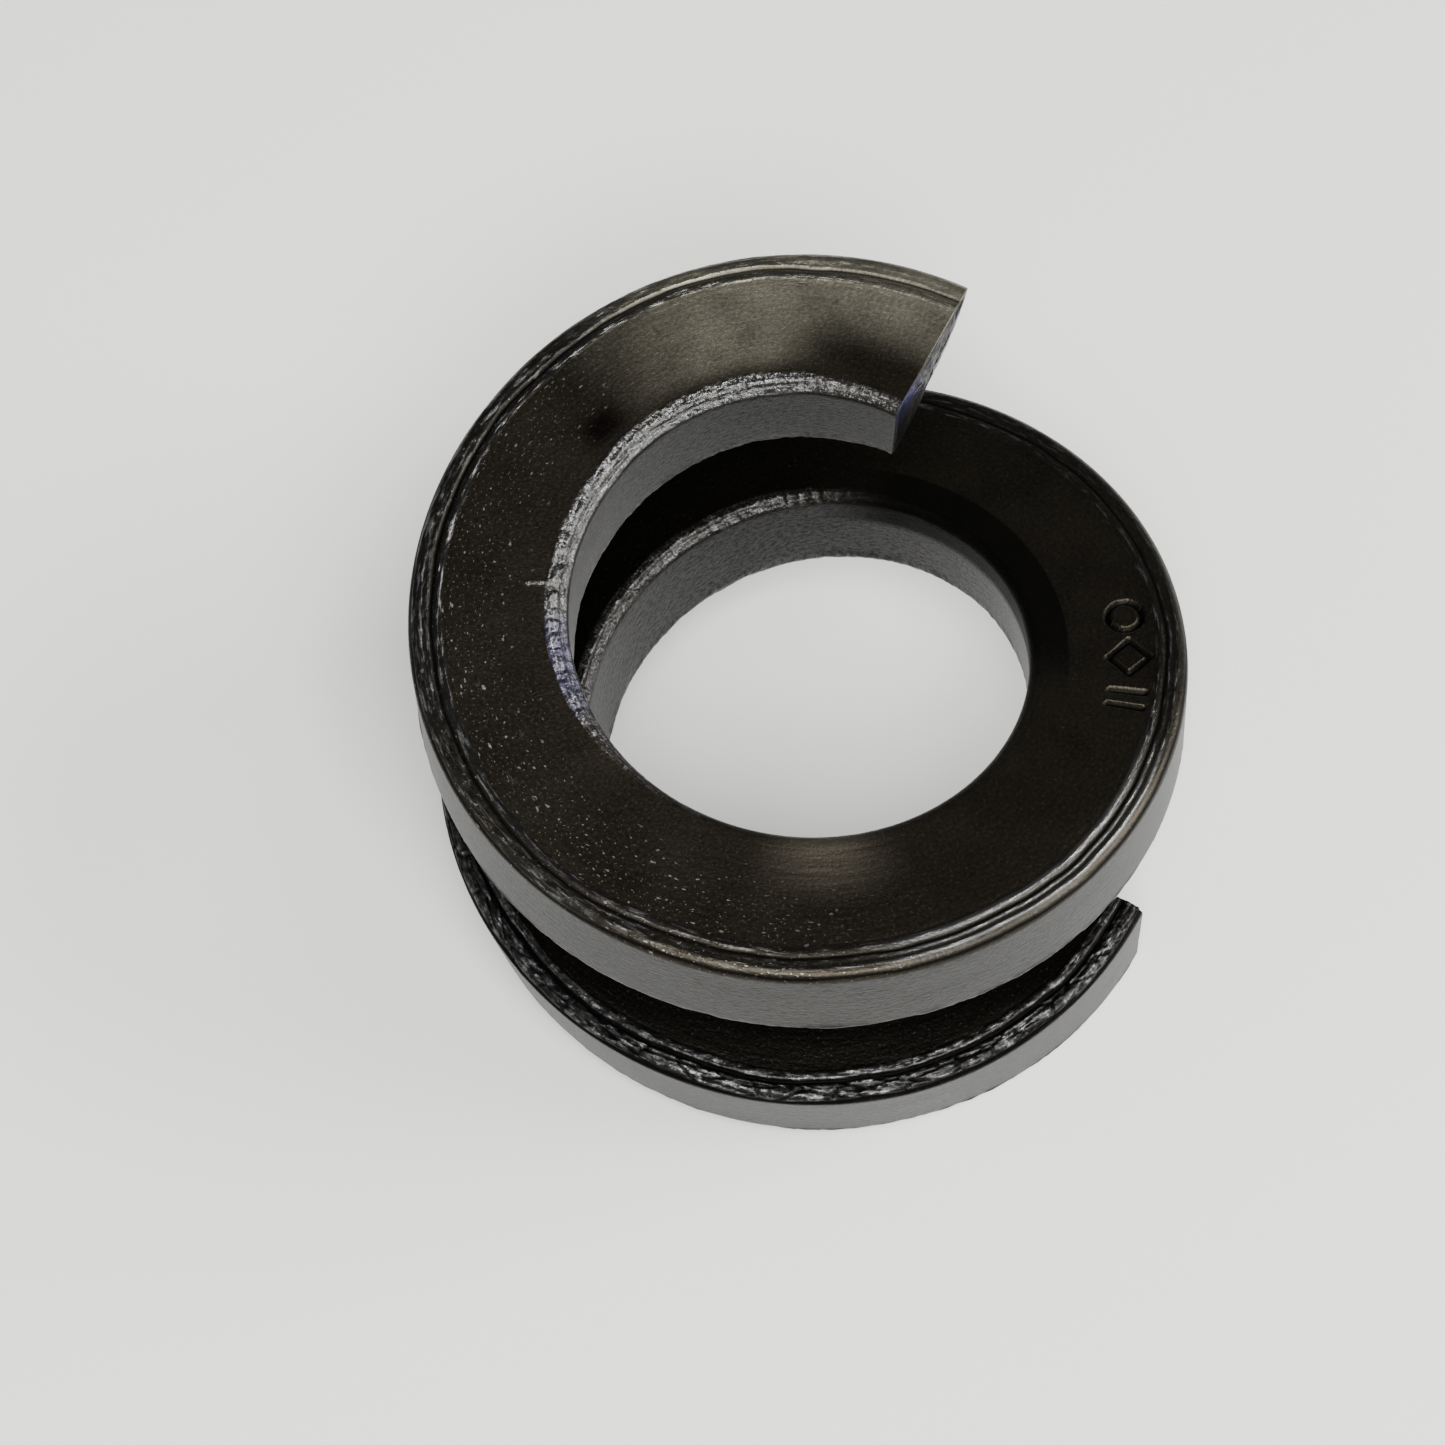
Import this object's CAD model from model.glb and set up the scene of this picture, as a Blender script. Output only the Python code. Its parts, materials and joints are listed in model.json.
import json
import math
import bpy
import numpy as np
from mathutils import Matrix, Vector

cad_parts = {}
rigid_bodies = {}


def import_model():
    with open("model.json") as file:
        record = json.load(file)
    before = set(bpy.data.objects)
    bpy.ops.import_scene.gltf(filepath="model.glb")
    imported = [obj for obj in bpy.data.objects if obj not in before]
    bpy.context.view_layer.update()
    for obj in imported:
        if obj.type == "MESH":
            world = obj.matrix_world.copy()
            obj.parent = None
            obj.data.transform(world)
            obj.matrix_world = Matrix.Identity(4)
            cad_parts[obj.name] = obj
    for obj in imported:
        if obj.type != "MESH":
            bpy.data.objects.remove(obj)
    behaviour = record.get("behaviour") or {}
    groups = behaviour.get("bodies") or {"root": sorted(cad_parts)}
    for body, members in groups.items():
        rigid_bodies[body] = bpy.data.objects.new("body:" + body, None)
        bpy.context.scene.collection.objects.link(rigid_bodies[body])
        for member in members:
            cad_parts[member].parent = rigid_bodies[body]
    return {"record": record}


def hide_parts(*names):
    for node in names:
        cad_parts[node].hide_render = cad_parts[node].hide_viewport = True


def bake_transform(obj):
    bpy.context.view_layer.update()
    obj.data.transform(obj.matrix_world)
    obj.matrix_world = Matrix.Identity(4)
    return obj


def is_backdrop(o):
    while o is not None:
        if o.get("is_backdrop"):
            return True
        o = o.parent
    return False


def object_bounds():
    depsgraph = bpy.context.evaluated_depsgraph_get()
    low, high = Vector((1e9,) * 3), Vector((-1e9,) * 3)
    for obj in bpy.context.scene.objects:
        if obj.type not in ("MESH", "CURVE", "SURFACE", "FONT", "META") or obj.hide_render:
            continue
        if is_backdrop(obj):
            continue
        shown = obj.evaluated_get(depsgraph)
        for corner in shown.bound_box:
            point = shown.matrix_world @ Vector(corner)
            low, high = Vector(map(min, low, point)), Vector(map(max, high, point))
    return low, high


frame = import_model()
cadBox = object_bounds()
record = frame["record"]
hinges = record["behaviour"]["joints"]
mm = 0.001

# the bar, in millimetres and degrees; coil angles count up the bar from its lower end
bar = {
    "coilAngle": 630.0,
    "endPiece": 90.0,        # the first hinge is this far up the bar
    "hingeStep": 45.0,
    "thickness": 6.3,
    "edgeRadius": 0.65,
    "levelAngle": 25.0,      # level seat at each end
    "easeAngle": 50.0,       # from level to the full pitch
    "rollLow": -10.7,        # the section leans outwards at the bottom of the coil
    "rollHigh": 6.7,         # and inwards at the top
    "flatTip": 0.65,         # share of the lower lean lost at the tip
    "flatAngle": 50.0,       # over so many degrees
    "seatLift": 0.65,        # keeps the leaning seats in their own planes
    "seatLiftTip": 0.25,
    "seatDrop": 0.32,
    "seatAngle": 130.0,      # the lift and drop fade over so many degrees
    "tipIn": 0.30,           # both tips are wound in a little
    "tipAngle": 60.0,
    "shearBack": 4.6,        # the upper end's lower edge is sheared back so many degrees
    "shearAngle": 12.0,      # over the last so many
    "ringStep": 0.375,       # one mesh ring each so many degrees
    "bendReach": 0.97,       # each length bends over nearly the whole space between two cuts
}

boreRadius = next(m for m in record["mounts"] if m["name"] == "bore")["dims"]["r_mm"]
outerRadius = (cadBox[1].x - cadBox[0].x) / 2 / mm
freeHeight = (cadBox[1].z - cadBox[0].z) / mm
halfWidth = (outerRadius - boreRadius) / 2
halfThick = bar["thickness"] / 2
middleRadius = (outerRadius + boreRadius) / 2
coilRise = freeHeight - bar["thickness"]
firstHinge = hinges[0]["pos_m"]
startAzimuth = math.degrees(math.atan2(firstHinge[1], firstHinge[0])) + bar["endPiece"]


def smoothStep(x):
    x = np.clip(x, 0.0, 1.0)
    return x * x * (3 - 2 * x)


def bump(x, middle, width):
    return np.exp(-(((x - middle) / width) ** 2))


# 0, up to 1 past start, and down to 0 past end
def plateau(x, start, rise, end, fall):
    return smoothStep((x - start) / rise) * (1 - smoothStep((x - end) / fall))


# smooth random heights on a grid of cells, always the same for one seed
def grain(along, across, cellAlong, cellAcross, seed):
    a, b = along / cellAlong, across / cellAcross
    i, j = np.floor(a).astype(int), np.floor(b).astype(int)
    size = (int(i.max() - i.min()) + 2, int(j.max() - j.min()) + 2)
    grid = np.random.default_rng(seed).random(size) * 2 - 1
    u, v = smoothStep(a - i), smoothStep(b - j)
    i, j = i - i.min(), j - j.min()
    low = grid[i, j] * (1 - u) + grid[i + 1, j] * u
    high = grid[i, j + 1] * (1 - u) + grid[i + 1, j + 1] * u
    return low * (1 - v) + high * v


# distance to the border between irregular cells, 0 on the border
def cracks(along, across, cellAlong, cellAcross, seed):
    a, b = along / cellAlong, across / cellAcross
    i, j = np.floor(a).astype(int), np.floor(b).astype(int)
    i0, j0 = i.min() - 1, j.min() - 1
    size = (int(i.max() - i0) + 3, int(j.max() - j0) + 3, 2)
    jitter = np.random.default_rng(seed).random(size)
    near = np.full(a.shape, 9.0)
    second = near.copy()
    for di in (-1, 0, 1):
        for dj in (-1, 0, 1):
            spot = jitter[i + di - i0, j + dj - j0]
            far = np.hypot(i + di + spot[..., 0] - a, j + dj + spot[..., 1] - b)
            second = np.minimum(second, np.maximum(near, far))
            near = np.minimum(near, far)
    return second - near


def eased(angle, width):
    return np.where(angle < 0, 0, np.where(angle < width, angle**2 / (2 * width), angle - width / 2))


# height of the bar's centre line, with the same level seats and even pitch as the CAD bar
def centreHeight(coilAt):
    level, ease, whole = bar["levelAngle"], bar["easeAngle"], bar["coilAngle"]
    climb = eased(coilAt - level, ease) - eased(coilAt - (whole - level - ease), ease)
    height = halfThick + coilRise * climb / (whole - 2 * level - ease)
    lift = bar["seatLift"] * (1 - smoothStep(coilAt / bar["seatAngle"]))
    lift -= (bar["seatLift"] - bar["seatLiftTip"]) * (1 - smoothStep(coilAt / bar["flatAngle"]))
    drop = bar["seatDrop"] * (1 - smoothStep((whole - coilAt) / bar["seatAngle"]))
    return height + lift - drop


def tipPull(coilAt):
    fromTip = np.minimum(coilAt, bar["coilAngle"] - coilAt)
    return bar["tipIn"] * np.clip(1 - fromTip / bar["tipAngle"], 0, 1) ** 2


def rollAt(coilAt):
    share = coilAt / bar["coilAngle"]
    flat = 1 - bar["flatTip"] * (1 - smoothStep(coilAt / bar["flatAngle"]))
    return np.radians(bar["rollLow"] * (1 - share) * flat + bar["rollHigh"] * share)


# how closely the section's outline is divided, in mm; the worn rim beside each top edge is finer
division = {"rim": 1.5, "fine": 0.085, "plain": 0.13, "coarse": 0.3}


# the section's outline, from the foot of the outer wall over the top and round: place, outward
# normal, surface (wall, edge or face), corner number, and distance in from that corner's wall
def outline():
    columns = []
    w, t, e = halfWidth, halfThick, bar["edgeRadius"]
    rim, fine, plain, coarse = (division[k] for k in ("rim", "fine", "plain", "coarse"))
    arcLength = e * math.pi / 2

    def run(x0, y0, x1, y1, step, surface, corner=-1, start=0.0, sign=1):
        size = math.hypot(x1 - x0, y1 - y0)
        count = max(1, round(size / step))
        for k in range(count):
            share = k / count
            x, y = x0 + (x1 - x0) * share, y0 + (y1 - y0) * share
            inward = start + sign * share * size
            columns.append((x, y, (y1 - y0) / size, (x0 - x1) / size, surface, corner, inward))

    def turn(x, y, first, corner, fromWall):
        count = round(arcLength / fine)
        for k in range(count):
            angle = first + math.pi / 2 * k / count
            inward = arcLength * (k / count if fromWall else 1 - k / count)
            c, n = math.cos(angle), math.sin(angle)
            columns.append((x + e * c, y + e * n, c, n, 1, corner, inward))

    run(w, e - t, w, t - e, coarse, 0)
    turn(w - e, t - e, 0, 0, True)
    run(w - e, t, w - e - rim, t, fine, 1, 0, arcLength)
    run(w - e - rim, t, e + rim - w, t, plain, 2)
    run(e + rim - w, t, e - w, t, fine, 1, 1, arcLength + rim, -1)
    turn(e - w, t - e, math.pi / 2, 1, False)
    run(-w, t - e, -w, e - t, coarse, 0)
    turn(e - w, e - t, math.pi, 2, True)
    run(e - w, -t, w - e, -t, coarse, 2)
    turn(w - e, e - t, 1.5 * math.pi, 3, False)
    return np.array(columns).T


# how strong each kind of wear is along the coil: coil angles, and the strength at each
wear = {
    "outerCrust": (
        [0, 120, 200, 250, 330, 415, 440, 470, 520, 600, 630],
        [1.0, 1.0, 0.8, 0.25, 0.06, 0.06, 0.30, 0.60, 0.60, 0.45, 0.2],
    ),
    "outerCells": ([0, 130, 220, 630], [1.0, 1.0, 0.0, 0.0]),
    "outerLines": ([230, 300, 345, 395, 430, 630], [0.15, 0.25, 1.0, 1.0, 0.35, 0.3]),
    "innerBand": (
        [100, 135, 235, 262, 440, 465, 500, 597, 612, 630],
        [0.3, 0.8, 0.7, 0.1, 0.05, 0.3, 1.0, 1.0, 0.45, 0.4],
    ),
}

# outer top edge, in mm in from the wall: start, rise, end, fall of a strip; middle, width of a line
outerEdge = {
    "strip": (0.45, 0.15, 1.42, 0.12),
    "ledge": (1.7, 0.08, 2.12, 0.1),
    "groove": (1.56, 0.11),
    "rim": (0.36, 0.1),
    "lines": ((0.95, 0.07), (1.38, 0.07), (1.95, 0.08)),
    "cell": (1.7, 0.62),          # size of the crusted cells, along and across
    "crack": 0.16,
    "stripHeight": 0.085,
    "ledgeHeight": 0.05,
    "coarseHeight": 0.04,
    "grooveDepth": 0.16,
    "rimDepth": 0.08,
    "crackDepth": 0.13,
    "lineHeight": 0.05,
}

# inner top edge; each burr is coil angle, height and length in degrees
innerEdge = {
    "width": (0.75, 0.75),        # least, and how much more where the band is strong
    "split": (0.75, 0.07),
    "hollow": (0.5, 0.35),
    "line": (0.05, 0.1),
    "hollowDepth": 0.16,
    "burrs": [(520.0, 0.42, 2.2), (514.0, 0.34, 1.4), (503.0, 0.2, 1.8)],
    "dull": (300, 120),           # duller below this coil angle, over so many degrees
    "smoothRim": (240, 25, 325, 30),
    "smoothRimDepth": 2.4,
}

# nicks on the top face: coil angle, reach from and to in from the bore, slant in degrees
nicks = {
    "width": 0.09,
    "height": 0.05,
    "places": [(517.0, 1.3, 2.3, -8.0), (497.0, 5.3, 5.5, 90.0), (478.0, 5.6, 6.0, 60.0)],
}

# punched marks, in mm, with the coil angle of each
marks = {
    "radius": 18.0,
    "depth": 0.3,
    "stroke": 0.2,
    "size": 2.3,
    "barApart": 1.0,
    "places": {"ring": 323.0, "lozenge": 332.0, "bars": 341.0},
}


# how deep each spot lies in a punched mark: 1 on a stroke, 0 off it
def punched(coilAt, radial):
    stroke = marks["stroke"]
    reach = marks["size"] / 2 - stroke
    up = (radial + middleRadius) - marks["radius"]
    total = np.zeros_like(coilAt)
    for name, place in marks["places"].items():
        side = np.radians(coilAt - place) * marks["radius"]
        if name == "ring":
            off = np.abs(np.hypot(side, up) - reach)
        elif name == "lozenge":
            off = np.abs(np.abs(side) + np.abs(up) - reach * 1.2) / math.sqrt(2)
        else:
            off = np.maximum(np.abs(np.abs(side) - marks["barApart"] / 2), np.abs(up) - reach)
        total = np.maximum(total, 1 - smoothStep((off - stroke * 0.3) / (stroke * 0.7)))
    return total


# adds to the skin on some columns of the mesh only
def lay(skin, columns, height=None, bare=None, soot=None):
    for name, amount in (("height", height), ("bare", bare), ("soot", soot)):
        if amount is not None:
            skin[name][:, columns] += amount[:, columns]


def wearOuterEdge(skin, columns, spot):
    e = outerEdge
    q = spot["inward"] + spot["wander"]
    kinds = ("outerCrust", "outerCells", "outerLines")
    crust, cells, clean = (np.interp(spot["phi"], *wear[k]) for k in kinds)
    strip = plateau(q, *e["strip"])
    ledge = plateau(q, *e["ledge"])
    groove = bump(q, *e["groove"])
    rim = bump(q, *e["rim"])
    crack = (1 - smoothStep(cracks(spot["along"], q, *e["cell"], 5) / e["crack"])) * strip * cells
    lines = sum(bump(q, *line) for line in e["lines"])
    height = crust * spot["rough"] * (e["stripHeight"] * strip + e["ledgeHeight"] * ledge)
    height += e["coarseHeight"] * spot["coarse"] * strip * crust + 0.05 * strip * cells + 0.03 * ledge
    height += e["lineHeight"] * lines * clean - e["crackDepth"] * crack - e["rimDepth"] * rim * crust
    height -= e["grooveDepth"] * groove * np.clip(crust * 1.6, 0.25, 1)
    patches = 1.4 * grain(spot["along"], spot["inward"], 2.6, 0.6, 6) + 0.5 * spot["coarse"]
    patches = smoothStep(0.5 + patches)
    bare = strip * crust * (0.45 + 0.55 * patches) + 0.8 * ledge * np.clip(crust + 0.25, 0, 1)
    bare = np.maximum(bare, 0.8 * lines * clean)
    lay(skin, columns, height, bare, groove + rim + crack)


def wearInnerEdge(skin, columns, spot):
    e = innerEdge
    phi = spot["phi"]
    q = spot["inward"] + spot["wander"] * 0.8
    band = np.interp(phi, *wear["innerBand"])
    width = e["width"][0] + e["width"][1] * np.clip(band, 0, 1)
    over = plateau(q, 0.1, 0.15, width, 0.1 + 0.12 * (1 - band))
    serrate = grain(spot["along"], q, 0.3, 0.9, 7)
    split = bump(q, *e["split"])
    height = band * over * (0.05 * spot["rough"] + 0.06 * serrate) - 0.07 * split * band
    height -= e["hollowDepth"] * band * bump(q, *e["hollow"])
    for place, tall, long in e["burrs"]:
        burr = bump(phi, place, long) * bump(q, 1.0 + 0.3 * serrate, 0.3)
        height += tall * burr * (0.6 + 0.6 * spot["rough"])
    shine = 0.3 + 0.7 * smoothStep((phi - e["dull"][0]) / e["dull"][1])
    bare = shine * band * over * (0.75 + 0.35 * serrate)
    lay(skin, columns, height, bare, (split * 0.7 + 0.6 * bump(q, *e["line"])) * band)


def wearTopFace(skin, columns, rimToo, spot):
    phi, radial, along = spot["phi"], spot["radial"], spot["along"]
    dent = punched(phi, radial)
    lay(skin, rimToo, -marks["depth"] * dent, None, dent)
    pits = grain(along, radial, 0.35, 0.3, 23) * grain(along, radial, 2.5, 1.5, 24)
    upperTurn = np.clip((phi - 430) / 60, 0, 1) * bump(radial, 1.5, 2.0)
    lay(skin, columns, None, 0.35 * smoothStep((pits - 0.45) / 0.2) * upperTurn)
    for place, low, high, slant in nicks["places"]:
        side = np.radians(phi - place) * middleRadius
        reach = radial + halfWidth - (low + high) / 2
        c, n = math.cos(math.radians(slant)), math.sin(math.radians(slant))
        past = np.abs(reach * c + side * n) - (high - low) / 2
        nick = bump(side * c - reach * n, 0, nicks["width"]) * (1 - smoothStep(past / 0.15))
        lay(skin, rimToo, nicks["height"] * nick, 1.2 * nick)


# everything that the rolling, bending and handling did to the surface: height in mm along the
# normal, and how far each spot is bare or sooty
def surface(coilAt, columns):
    x, y, nx, ny, kind, corner, inward = columns
    blank = np.zeros((len(coilAt), len(x)))
    skin = {name: blank.copy() for name in ("height", "bare", "soot")}
    phi, inward = coilAt[:, None] + blank, inward + blank
    along = np.radians(phi) * middleRadius
    edge, face, wall = (kind == 1), (kind == 2), (kind == 0)
    spot = {"phi": phi, "along": along, "inward": inward, "radial": x + blank}
    spot["wander"] = 0.09 * grain(along, blank, 5.0, 1.0, 11) + 0.05 * grain(along, blank, 1.3, 1.0, 12)
    spot["rough"] = (0.6 * grain(along, inward, 0.55, 0.22, 1) + 0.4 * grain(along, inward, 0.28, 0.14, 2)
                     + 0.5 * grain(along, inward, 1.6, 0.5, 3))
    spot["coarse"] = grain(along, inward, 3.5, 1.2, 4)

    wearOuterEdge(skin, (corner == 0) & edge, spot)
    wearInnerEdge(skin, (corner == 1) & edge, spot)
    lowerEdges = 0.05 * spot["rough"] + 0.04 * spot["coarse"]
    lay(skin, (corner >= 2) & edge, lowerEdges, 0.35 * smoothStep(0.3 + spot["rough"]))
    radial = spot["radial"]
    waves = 0.012 * grain(along, radial, 9.0, 3.0, 21) + 0.006 * grain(along, radial, 0.9, 0.7, 22)
    lay(skin, face, waves)
    wearTopFace(skin, face & (y > 0), (y > 0) & (kind >= 1) & (ny > 0.99), spot)
    lay(skin, wall, 0.012 * grain(along, inward, 2.2, 1.4, 31))
    smooth = 0.9 * plateau(phi, *innerEdge["smoothRim"])
    dark = smooth * smoothStep((y - (halfThick - innerEdge["smoothRimDepth"])) / 0.6)
    lay(skin, (x < 0) & (y > 0) & (kind < 2), None, None, dark)
    return skin["height"], np.clip(skin["bare"], 0, 1), np.clip(skin["soot"], 0, 1)


# the whole bar as rings of points, with its masks; rings run up the bar
def windBar():
    count = round(bar["coilAngle"] / bar["ringStep"])
    coilAt = np.linspace(0, bar["coilAngle"], count + 1)
    columns = outline()
    x, y, nx, ny, kind, corner, inward = columns
    height, bare, soot = surface(coilAt, columns)
    px, py = x + nx * height, y + ny * height
    roll, pull = rollAt(coilAt)[:, None], tipPull(coilAt)[:, None]
    radius = middleRadius - pull + px * np.cos(roll) - py * np.sin(roll)
    z = centreHeight(coilAt)[:, None] + px * np.sin(roll) + py * np.cos(roll)
    nearTip = smoothStep((coilAt - bar["coilAngle"] + bar["shearAngle"]) / bar["shearAngle"])[:, None]
    lie = bar["shearBack"] * nearTip * ((halfThick - py) / (2 * halfThick))
    azimuth = np.radians(startAzimuth - coilAt[:, None] + lie)
    points = np.stack([radius * np.cos(azimuth), radius * np.sin(azimuth), z], -1) * mm
    around = np.cumsum(np.hypot(np.diff(x, append=x[0]), np.diff(y, append=y[0])))
    blank = 0 * height
    onBar = np.stack([np.radians(coilAt)[:, None] * middleRadius + blank, around + blank, blank], -1)
    wallSide = np.where(kind == 0, 1.0, 0.0) + np.where(kind == 1, 1 - smoothStep(inward / 0.25), 0)
    masks = {
        "bare": bare,
        "soot": soot,
        "wallSide": wallSide + blank,
        "coilPlace": coilAt[:, None] + blank,
        "acrossPlace": x + blank,
        "innerSide": np.where(x < 0, 1.0, 0.0) + blank,
        "upPlace": y + blank,
    }
    return coilAt, points, onBar, masks


# normals of the whole bar, so that neighbouring lengths share them
def vertexNormals(points):
    up = np.gradient(points, axis=0)
    side = np.roll(points, -1, 1) - np.roll(points, 1, 1)
    normal = np.cross(side, up)
    return normal / np.maximum(np.linalg.norm(normal, axis=-1, keepdims=True), 1e-12)


# a sheared end: rings in to its middle, how far that bulges, and the torn grain on it, in mm
shearedEnd = {"rings": 14, "bulge": 0.32, "torn": 0.05, "tornCell": 1.5, "tornTurns": 50, "seed": 41}


# one length of the bar as a closed mesh; a true end gets a bulged, torn face
def lengthOfBar(name, first, last, coilAt, points, onBar, masks, normals, material):
    rows = slice(first, last + 1)
    block = points[rows]
    tall, wide = block.shape[:2]
    verts = [block.reshape(-1, 3)]
    places = [onBar[rows].reshape(-1, 3)]
    values = {key: [mask[rows].reshape(-1)] for key, mask in masks.items()}
    values["cutEnd"] = [np.zeros(tall * wide)]
    i = np.arange(tall - 1)[:, None] * wide
    j = np.arange(wide)[None, :]
    k = (j + 1) % wide
    quads = np.stack([i + j, i + k, i + wide + k, i + wide + j], -1).reshape(-1, 4)
    faces = [quads.tolist()]
    total = tall * wide
    around = np.arange(wide)
    for ring, outward, trueEnd in ((0, -1, first == 0), (tall - 1, 1, last == len(coilAt) - 1)):
        loop = block[ring]
        centre = loop.mean(0)
        near = first + 1 if ring == 0 else last
        ahead = (points[near] - points[near - 1]).mean(0)
        ahead = ahead / np.linalg.norm(ahead) * outward
        steps = shearedEnd["rings"] if trueEnd else 1
        bulge = shearedEnd["bulge"] * mm if trueEnd else 0
        before = around + ring * wide
        for step in range(1, steps):
            share = 1 - step / steps
            angles = around / wide * shearedEnd["tornTurns"]
            seed = shearedEnd["seed"] + step
            torn = grain(angles, angles * 0 + step, shearedEnd["tornCell"], 1.0, seed) * (step > 1)
            torn = shearedEnd["torn"] * mm * torn
            spread = centre + (loop - centre) * share + ahead * (bulge * (1 - share**3) + torn)[:, None]
            verts.append(spread)
            places.append(spread / mm)
            kept = {"coilPlace": 1, "acrossPlace": share, "upPlace": share}
            for key in masks:
                values[key].append(masks[key][first + ring] * kept.get(key, 0))
            values["cutEnd"].append(np.ones(wide))
            now = around + total
            faces.append(capQuads(before, now, outward))
            before = now
            total += wide
        tip = (centre + ahead * bulge)[None]
        verts.append(tip)
        places.append(tip / mm)
        for key, parts in values.items():
            parts.append(np.full(1, float(key == "cutEnd")))
        fan = np.stack([before, np.roll(before, -1), np.full(wide, total)], -1)
        faces.append((fan if outward > 0 else fan[:, ::-1]).tolist())
        total += 1
    shape = bpy.data.meshes.new(name)
    shape.from_pydata(np.concatenate(verts), [], [f for part in faces for f in part])
    shape.update()
    piece = bpy.data.objects.new(name, shape)
    bpy.context.scene.collection.objects.link(piece)
    place = shape.attributes.new("onBar", "FLOAT_VECTOR", "POINT")
    place.data.foreach_set("vector", np.concatenate(places).astype(np.float32).ravel())
    for key, parts in values.items():
        layer = shape.attributes.new(key, "FLOAT", "POINT")
        layer.data.foreach_set("value", np.concatenate(parts).astype(np.float32))
    shadeSmooth(shape, len(quads), normals[rows].reshape(-1, 3))
    shape.materials.append(material)
    return piece


def capQuads(before, now, outward):
    ring = np.stack([before, np.roll(before, -1), np.roll(now, -1), now], -1)
    return (ring if outward > 0 else ring[:, ::-1]).tolist()


# the sides share their neighbours' normals, so no seam shows between lengths; the ends keep their own
def shadeSmooth(mesh, sideFaces, normals):
    mesh.shade_smooth()
    corners = np.empty(len(mesh.loops), np.int32)
    mesh.loops.foreach_get("vertex_index", corners)
    custom = np.zeros((len(corners), 3))
    side = np.arange(len(corners)) < sideFaces * 4
    custom[side] = normals[corners[side]]
    mesh.normals_split_custom_set(custom.tolist())


# a socket of a shader, so that sums and masks are written as plain sums
class Wire:
    def __init__(self, tree, socket=None):
        self.tree = tree
        self.socket = socket

    # any node: its type, its settings, and values or links for its inputs
    def node(self, kind, settings, inputs, output=0):
        made = self.tree.nodes.new(kind)
        for key, value in settings.items():
            setattr(made, key, value)
        for key, value in inputs.items():
            socket = made.inputs[key]
            if isinstance(value, Wire):
                self.tree.links.new(value.socket, socket)
            elif socket.type == "RGBA":
                socket.default_value = (*value, 1)
            else:
                socket.default_value = value
        return Wire(self.tree, made.outputs[output])

    def math(self, operation, first, second, clamp=False):
        settings = {"operation": operation, "use_clamp": clamp}
        return self.node("ShaderNodeMath", settings, {0: first, 1: second})

    def __add__(self, other):
        return self.math("ADD", self, other)

    def __radd__(self, other):
        return self.math("ADD", other, self)

    def __sub__(self, other):
        return self.math("SUBTRACT", self, other)

    def __rsub__(self, other):
        return self.math("SUBTRACT", other, self)

    def __mul__(self, other):
        return self.math("MULTIPLY", self, other)

    def __rmul__(self, other):
        return self.math("MULTIPLY", other, self)

    def clamp(self):
        return self.math("ADD", self, 0.0, True)

    # 0 below low, 1 above high, smooth between
    def between(self, low, high):
        settings = {"interpolation_type": "SMOOTHSTEP"}
        return self.node("ShaderNodeMapRange", settings, {"Value": self, "From Min": low, "From Max": high})

    # up to 1 over the first pair of numbers, down to 0 over the second
    def window(self, low, full, fade, end):
        return self.between(low, full) * (1 - self.between(fade, end))

    # this mask's mix of two colours
    def blend(self, first, second):
        return self.node("ShaderNodeMix", {"data_type": "RGBA"}, {0: self, 6: first, 7: second}, 2)

    def into(self, socket):
        self.tree.links.new(self.socket, socket)


def newMaterial(name):
    material = bpy.data.materials.new(name)
    material.use_nodes = True
    shader = next(n for n in material.node_tree.nodes if n.type == "BSDF_PRINCIPLED")
    return material, shader, Wire(material.node_tree)


# noise of a scale per mm, with its detail and roughness, stretched along and across and turned
def noise(start, place, scale, detail, rough, stretch=None, turn=0.0):
    if stretch:
        moved = {"Vector": place, "Scale": (*stretch, 1), "Rotation": (0, 0, turn)}
        place = start.node("ShaderNodeMapping", {}, moved)
    inputs = {"Vector": place, "Scale": scale, "Detail": detail, "Roughness": rough}
    return start.node("ShaderNodeTexNoise", {}, inputs)


steel = {
    "face": (0.0065, 0.0058, 0.0045),
    "faceBrown": (0.044, 0.038, 0.028),
    "speck": (0.260, 0.250, 0.230),
    "olive": (0.400, 0.375, 0.285),
    "warm": (0.200, 0.175, 0.130),
    "smudge": (0.006, 0.0045, 0.004),
    "wall": (0.034, 0.0335, 0.0325),
    "innerWall": (0.060, 0.0595, 0.059),
    "wallDark": (0.012, 0.0115, 0.011),
    "crust": (0.020, 0.0195, 0.019),
    "innerCrust": (0.052, 0.051, 0.049),
    "bare": (0.480, 0.480, 0.470),
    "soot": (0.0025, 0.0025, 0.0025),
    "cutDark": (0.010, 0.010, 0.011),
    "cut": (0.034, 0.033, 0.036),
    "violet": (0.055, 0.040, 0.210),
    "roughness": 0.31,
    "reliefStrength": 0.55,
    "relief": 0.00012,
}

# scale per mm, detail, roughness, then any stretch along and across, and turn
grains = {
    "scale": (4.5, 4.0, 0.6),
    "specks": (7.5, 2.0, 0.5),
    "rolled": (1.6, 3.0, 0.6, (0.12, 2.2)),
    "cloud": (0.22, 3.0, 0.55),
    "chips": (2.4, 1.0, 0.5, (1.0, 1.7), 0.9),
    "scuffs": (1.5, 3.0, 0.6, (1.3, 3.4), 0.62),
    "crossed": (1.5, 3.0, 0.6, (1.3, 3.4), -0.62),
    "mottle": (3.8, 4.0, 0.65),
    "streak": (1.5, 4.0, 0.65, (0.55, 3.4)),
    "glitter": (5.5, 3.0, 0.6),
    "patch": (1.7, 4.0, 0.7),
    "torn": (2.2, 4.0, 0.6),
}

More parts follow.
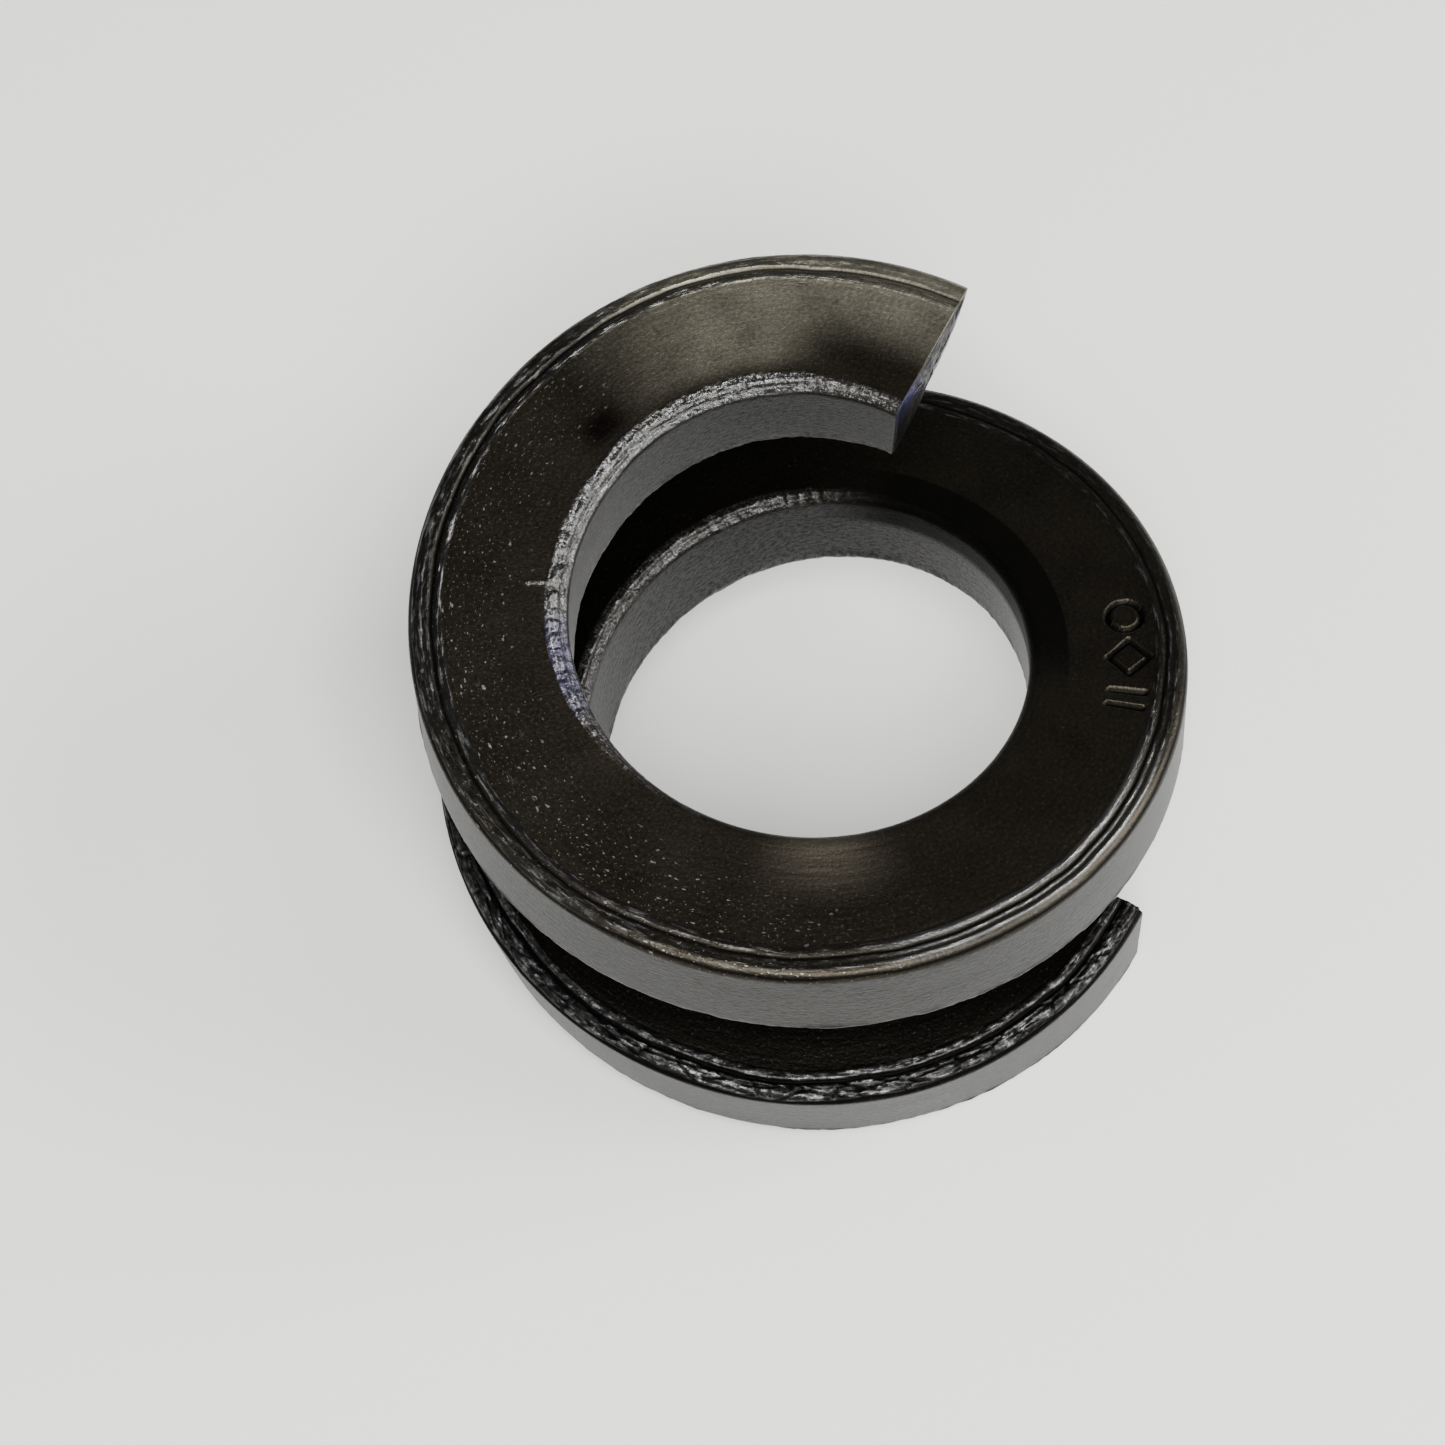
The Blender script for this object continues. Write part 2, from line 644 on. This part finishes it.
# where the colours lie: coil angles, and places across the face in mm from its middle
zones = {
    "olive": (556, 590),
    "oliveAcross": (-3.6, -1.8),
    "endPatch": (588, 612),
    "endPatchAcross": (-2.0, 1.6),
    "warm": (396, 415, 415, 434),
    "warmAcross": (-3.0, 0.6),
    "smudge": (549, 555, 557, 564),
    "smudgeAcross": (-3.0, -2.1, -1.6, -0.4),
    "hidden": (225, 290),
    "upperTurn": (395, 440, 545, 580),
    "lumps": (140, 260),
    "cleanLines": (345, 358, 398, 415),
    "violetBand": (478, 490, 505, 512),
    "violetEnd": (500, 620),
}


# dark faces with scale, marks of the rolls, heat colours near the upper end, and specks
def faceColour(texture, coilPlace, across):
    t, z = texture, zones
    face = (t["scale"] * 0.8 + t["cloud"] * 0.7 - 0.25).blend(steel["face"], steel["faceBrown"])
    nearEnd = coilPlace.between(*z["olive"]) * (t["cloud"] * 0.9 + t["scale"] * 0.5 - 0.2).clamp()
    endPatch = coilPlace.between(*z["endPatch"]) * (1 - across.between(*z["endPatchAcross"]))
    face = (nearEnd * (1 - endPatch) * across.between(*z["oliveAcross"])).blend(face, steel["olive"])
    warm = coilPlace.window(*z["warm"]) * (1 - across.between(*z["warmAcross"]))
    face = (warm * t["rolled"]).blend(face, steel["warm"])
    smudge = coilPlace.window(*z["smudge"]) * across.window(*z["smudgeAcross"])
    face = (smudge * (0.5 + t["cloud"])).blend(face, steel["smudge"])
    hidden = 1 - coilPlace.between(*z["hidden"])
    face = (hidden * 0.8).blend(face, steel["soot"])
    upperTurn = coilPlace.window(*z["upperTurn"])
    dust = (t["specks"] * 0.7 + t["scale"] * 0.3).between(0.60, 0.67)
    dust = dust * (0.15 + upperTurn * across.between(-2.2, 2.0))
    face = (dust * 0.7).blend(face, steel["speck"])
    chips = t["chips"].between(0.69, 0.73) * upperTurn * across.between(-3.0, 0.5)
    return chips.blend(face, steel["speck"])


# grey walls with crossed scuffs and dark mottling
def wallColour(texture, innerSide):
    hatch = (texture["scuffs"] * texture["crossed"] * 4.0).between(0.75, 1.35)
    dark = hatch * 0.55 + texture["mottle"].between(0.42, 0.72) * 0.5
    return dark.blend(innerSide.blend(steel["wall"], steel["innerWall"]), steel["wallDark"])


# how far each spot glints where the crust has worn to bare metal
def glints(texture, coilPlace, innerSide):
    streak, glitter = texture["streak"], texture["glitter"]
    lumps = 1 - coilPlace.between(*zones["lumps"])
    outer = streak.between(0.50, 0.70) * (1 - lumps)
    outer = outer + (texture["patch"] * 0.6 + streak * 0.4).between(0.48, 0.70) * lumps
    outer = outer * (0.25 + glitter * 0.75) + coilPlace.window(*zones["cleanLines"]) * 0.5
    return outer * (1 - innerSide) + (streak * 0.5 + glitter * 0.5).between(0.46, 0.66) * innerSide


# sheared ends: dark and torn, with a violet heat colour at the inner corner
def endColour(torn, coilPlace, across, up):
    colour = torn.blend(steel["cutDark"], steel["cut"])
    tint = (1 - across.between(-3.2, -1.2)) * up.between(0.2, 2.0) * coilPlace.between(*zones["violetEnd"])
    return (tint * torn * 0.8).blend(colour, steel["violet"])


# heat-blackened, oiled spring steel
def blackenedSteel():
    material, shader, start = newMaterial("blackenedSteel")

    def read(name, output=2):
        return start.node("ShaderNodeAttribute", {"attribute_name": name}, {}, output)

    place = read("onBar", 1)
    coilPlace, across, up = read("coilPlace"), read("acrossPlace"), read("upPlace")
    bare, soot, cutEnd = read("bare"), read("soot"), read("cutEnd")
    wall, innerSide = read("wallSide"), read("innerSide")
    texture = {name: noise(start, place, *numbers) for name, numbers in grains.items()}

    colour = wall.blend(faceColour(texture, coilPlace, across), wallColour(texture, innerSide))
    crust = innerSide.blend(steel["crust"], steel["innerCrust"])
    colour = (bare * 1.4).blend(colour, crust)
    flecks = (bare * glints(texture, coilPlace, innerSide)).clamp()
    colour = flecks.blend(colour, steel["bare"])
    band = innerSide * (1 - wall) * bare.between(0.02, 0.2) * coilPlace.window(*zones["violetBand"])
    colour = (band * 0.4 * texture["glitter"].between(0.35, 0.7)).blend(colour, steel["violet"])
    colour = soot.blend(colour, steel["soot"])
    colour = cutEnd.blend(colour, endColour(texture["torn"], coilPlace, across, up))

    roughness = steel["roughness"] + 0.16 * texture["scale"] + wall * 0.06 - 0.10 * flecks + soot * 0.25
    relief = texture["scale"] * 0.35 + texture["specks"] * 0.25 + texture["rolled"] * 0.25
    relief = relief + flecks * texture["glitter"] * 1.3 + texture["scuffs"] * wall * 0.3
    relief = relief + cutEnd * texture["torn"]
    shape = {"Height": relief, "Strength": steel["reliefStrength"], "Distance": steel["relief"]}
    colour.into(shader.inputs["Base Color"])
    roughness.clamp().into(shader.inputs["Roughness"])
    start.node("ShaderNodeBump", {}, shape).into(shader.inputs["Normal"])
    shader.inputs["Metallic"].default_value = 1.0
    return material


floor = {"halfSide": 1.2, "colour": (0.78, 0.78, 0.75), "roughness": 0.55}


# one plain table top, as low as the coil reaches
def paleFloor(low):
    side = floor["halfSide"]
    shape = bpy.data.meshes.new("table")
    corners = [(-side, -side, low), (side, -side, low), (side, side, low), (-side, side, low)]
    shape.from_pydata(corners, [], [(0, 1, 2, 3)])
    table = bpy.data.objects.new("table", shape)
    bpy.context.scene.collection.objects.link(table)
    material, shader, _ = newMaterial("tablePaint")
    shader.inputs["Base Color"].default_value = (*floor["colour"], 1)
    shader.inputs["Roughness"].default_value = floor["roughness"]
    shape.materials.append(material)
    table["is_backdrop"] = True


# where each lamp stands, in metres, with its size and power in watts
lamps = {
    "above": {"from": (0.05, -0.36, 0.56), "size": 0.35, "power": 9.5},
    "right": {"from": (0.62, -0.05, 0.36), "size": 0.45, "power": 8.0},
    "left": {"from": (-0.60, -0.10, 0.40), "size": 0.45, "power": 0.8},
}
sky = {"colour": (0.95, 0.97, 1.0), "strength": 0.30}


def lights(middle):
    for name, lamp in lamps.items():
        data = bpy.data.lights.new(name, "AREA")
        data.size, data.energy = lamp["size"], lamp["power"]
        light = bpy.data.objects.new(name, data)
        light.location = lamp["from"]
        light.rotation_euler = (middle - light.location).to_track_quat("-Z", "Y").to_euler()
        bpy.context.scene.collection.objects.link(light)
    world = bpy.data.worlds.new("studio")
    world.use_nodes = True
    back = world.node_tree.nodes["Background"]
    back.inputs["Color"].default_value = (*sky["colour"], 1)
    back.inputs["Strength"].default_value = sky["strength"]
    bpy.context.scene.world = world


# degrees, metres and a lens in mm; aside moves the camera right and up
stand = {
    "azimuth": 2.7,
    "elevation": 60.5,
    "tilt": -9.5,
    "distance": 0.242,
    "lens": 107.1,
    "sensor": 36.0,
    "aside": (0.00474, 0.00145),
}


def camera(middle):
    azimuth, elevation, tilt = (math.radians(stand[k]) for k in ("azimuth", "elevation", "tilt"))
    out = math.cos(elevation)
    back = Vector((math.sin(azimuth) * out, -math.cos(azimuth) * out, math.sin(elevation)))
    level = (-back).cross(Vector((0, 0, 1))).normalized()
    plumb = level.cross(-back)
    right = level * math.cos(tilt) + plumb * math.sin(tilt)
    up = plumb * math.cos(tilt) - level * math.sin(tilt)
    data = bpy.data.cameras.new("camera")
    data.lens, data.sensor_width = stand["lens"], stand["sensor"]
    data.clip_start = 0.01
    eye = bpy.data.objects.new("camera", data)
    where = middle + back * stand["distance"] - right * stand["aside"][0] - up * stand["aside"][1]
    turn = Matrix((right, up, back)).transposed().to_4x4()
    eye.matrix_world = Matrix.Translation(where) @ turn
    bpy.context.scene.collection.objects.link(eye)
    bpy.context.scene.camera = eye


# the bar is drawn in lengths that each bend across one hinge
def buildCoil():
    coilAt, points, onBar, masks = windBar()
    print("bar wound")
    normals = vertexNormals(points)
    material = blackenedSteel()
    print("steel finished")
    halfStep = bar["hingeStep"] / 2
    reach = bar["bendReach"] * boreRadius * mm * math.sin(math.radians(halfStep))
    first = 0
    for number, hinge in enumerate(hinges):
        at = bar["endPiece"] + number * bar["hingeStep"]
        isLast = number == len(hinges) - 1
        last = len(coilAt) - 1 if isLast else round((at + halfStep) / bar["ringStep"])
        name = f"bar_length_{number + 1:02d}"
        piece = lengthOfBar(name, first, last, coilAt, points, onBar, masks, normals, material)
        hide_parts(*([hinge["parent"]] if number == 0 else []), hinge["child"])
        middle, axis = Vector(hinge["pos_m"]), Vector(hinge["axis"])
        start, end = middle - axis * reach, middle + axis * reach
        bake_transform(piece)
        first = last
    print("bar cut into lengths")


coilMiddle = Vector((0, 0, freeHeight / 2 * mm))
buildCoil()
paleFloor(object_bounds()[0].z)
lights(coilMiddle)
camera(coilMiddle)
print("table, lights and camera set")
